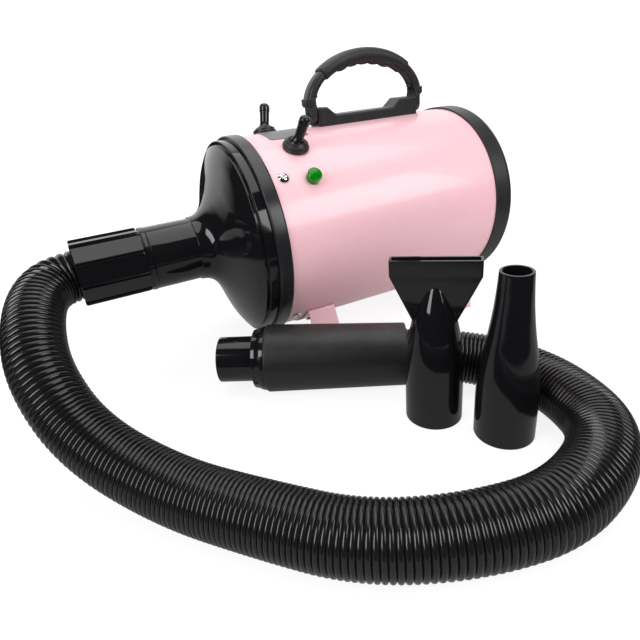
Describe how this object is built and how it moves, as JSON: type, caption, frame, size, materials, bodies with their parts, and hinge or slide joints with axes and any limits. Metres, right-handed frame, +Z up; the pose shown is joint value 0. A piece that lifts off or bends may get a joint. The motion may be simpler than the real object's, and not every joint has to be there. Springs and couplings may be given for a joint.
{
  "type": "pet dryer",
  "caption": "Portable pet dryer: painted drum with blower and heater inside, carrying handle, toggle switches, corrugated hose with wand, and loose flat and round nozzles.",
  "frame": {"origin": "centre of the footprint of the drum and the loose nozzles on the floor, without the hose and wand", "axes": "+X along the drum from the air outlet to the intake cap, +Z up; the hose leaves towards -X"},
  "size_m": [0.4726, 0.4357, 0.2593],
  "materials": {
    "body_paint": "glossy pale pink powder paint on steel sheet",
    "gloss_black": "glossy black moulded plastic",
    "satin_black": "satin black moulded plastic with a fine grain",
    "matte_black": "matt black plastic sleeve",
    "hose_black": "glossy black corrugated plastic",
    "soft_rubber": "soft black rubber",
    "bright_metal": "bright plated steel",
    "plate_grey": "satin grey anodised plate",
    "lens_green": "green translucent faceted lens",
    "moulded_plastic": "dark heat resistant moulding",
    "filter_foam": "open cell foam",
    "steel": "machined or pressed steel",
    "alloy": "die cast aluminium"
  },
  "bodies": {
    "root": {"acoustic_liner": "filter_foam", "body_shell": "body_paint", "brush_holders": "moulded_plastic", "cable_gland": "soft_rubber", "cap_screws": "bright_metal", "carbon_brushes": "steel", "control_board": "moulded_plastic", "fan_housing": "moulded_plastic", "filter_retainer": "moulded_plastic", "foot_pads": "soft_rubber", "foot_screws": "bright_metal", "front_bearing": "steel", "front_cone": "gloss_black", "front_foot": "body_paint", "front_ring": "satin_black", "front_spider": "steel", "handle_base": "satin_black", "handle_pins": "bright_metal", "handle_screws": "bright_metal", "heater_coils": "steel", "heater_frame": "moulded_plastic", "hose": "hose_black", "hose_cuff": "gloss_black", "intake_filter": "filter_foam", "label_plate": "plate_grey", "lamp_holder": "moulded_plastic", "lamp_lens": "lens_green", "motor_can": "alloy", "motor_stator": "steel", "nose_bush": "soft_rubber", "rear_bearing": "steel", "rear_bulkhead": "steel", "rear_cap": "satin_black", "rear_foot": "body_paint", "rear_mount": "soft_rubber", "rear_ring": "satin_black", "shell_screws": "bright_metal", "switch_1_body": "bright_metal", "switch_1_boot": "soft_rubber", "switch_2_body": "bright_metal", "switch_2_boot": "soft_rubber", "thermal_cutout": "steel", "wand_collar": "gloss_black", "wand_sleeve": "matte_black", "wand_tube": "gloss_black"},
    "handle": {"handle_bail": "satin_black", "handle_grip": "satin_black"},
    "lever_1": {"switch_1_lever": "bright_metal"},
    "lever_2": {"switch_2_lever": "bright_metal"},
    "rotor": {"motor_shaft": "steel", "armature": "steel", "commutator": "moulded_plastic", "impeller": "alloy"},
    "flat_nozzle_body": {"flat_nozzle": "gloss_black"},
    "round_nozzle_body": {"round_nozzle": "gloss_black"}
  },
  "joints": [
    {"name": "handle_fold", "type": "hinge", "parent": "root", "child": "handle", "pos_m": [0.07174, 0.08713, 0.2066], "axis": [1, 0, 0], "range_deg": [-90, 90]},
    {"name": "switch_1_toggle", "type": "hinge", "parent": "root", "child": "lever_1", "pos_m": [-0.02501, 0.04371, 0.18857], "axis": [0, 0.8788, 0.4772], "range_deg": [-28, 0]},
    {"name": "switch_2_toggle", "type": "hinge", "parent": "root", "child": "lever_2", "pos_m": [-0.02501, 0.11236, 0.19603], "axis": [0, 0.9608, -0.2773], "range_deg": [-28, 0]},
    {"name": "rotor_spin", "type": "hinge", "parent": "root", "child": "rotor", "pos_m": [0.04, 0.08713, 0.1086], "axis": [1, 0, 0], "continuous": true},
    {"name": "flat_nozzle_lift", "type": "slide", "parent": "root", "child": "flat_nozzle_body", "axis": [0, 0, 1], "range_m": [0, 0.15]},
    {"name": "round_nozzle_lift", "type": "slide", "parent": "root", "child": "round_nozzle_body", "axis": [0, 0, 1], "range_m": [0, 0.15]}
  ]
}
